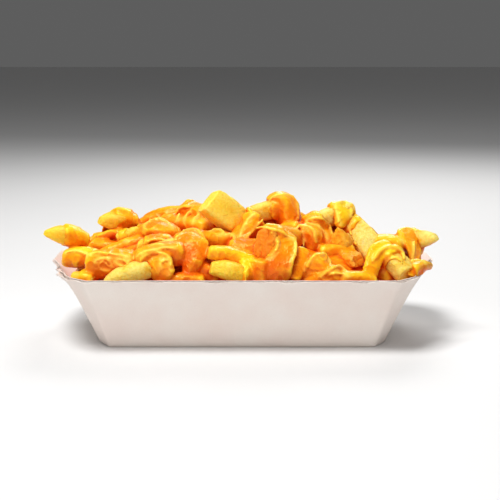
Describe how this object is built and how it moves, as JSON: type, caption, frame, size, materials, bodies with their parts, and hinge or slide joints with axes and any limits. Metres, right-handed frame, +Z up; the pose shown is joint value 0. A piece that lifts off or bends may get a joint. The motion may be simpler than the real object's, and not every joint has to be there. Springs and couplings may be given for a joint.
{
  "type": "cheese fries",
  "caption": "Loose heap of thick-cut fries wrapped in melted cheese sauce, crowned over the rim of a folded corrugated-board serving tray with sloping sides.",
  "frame": {"origin": "centre of the tray's flat underside", "axes": "+X along the long front panel, +Y towards the back panel, +Z up through the heap"},
  "size_m": [0.2029, 0.105, 0.0759],
  "materials": {
    "board": "uncoated white-lined corrugated board, matte",
    "cheese": "melted cheese sauce, smooth and glossy",
    "potato": "fried potato, lightly oiled, softly blistered"
  },
  "bodies": {
    "root": {"tray": "board", "cheese_fries": "cheese"}
  },
  "joints": []
}
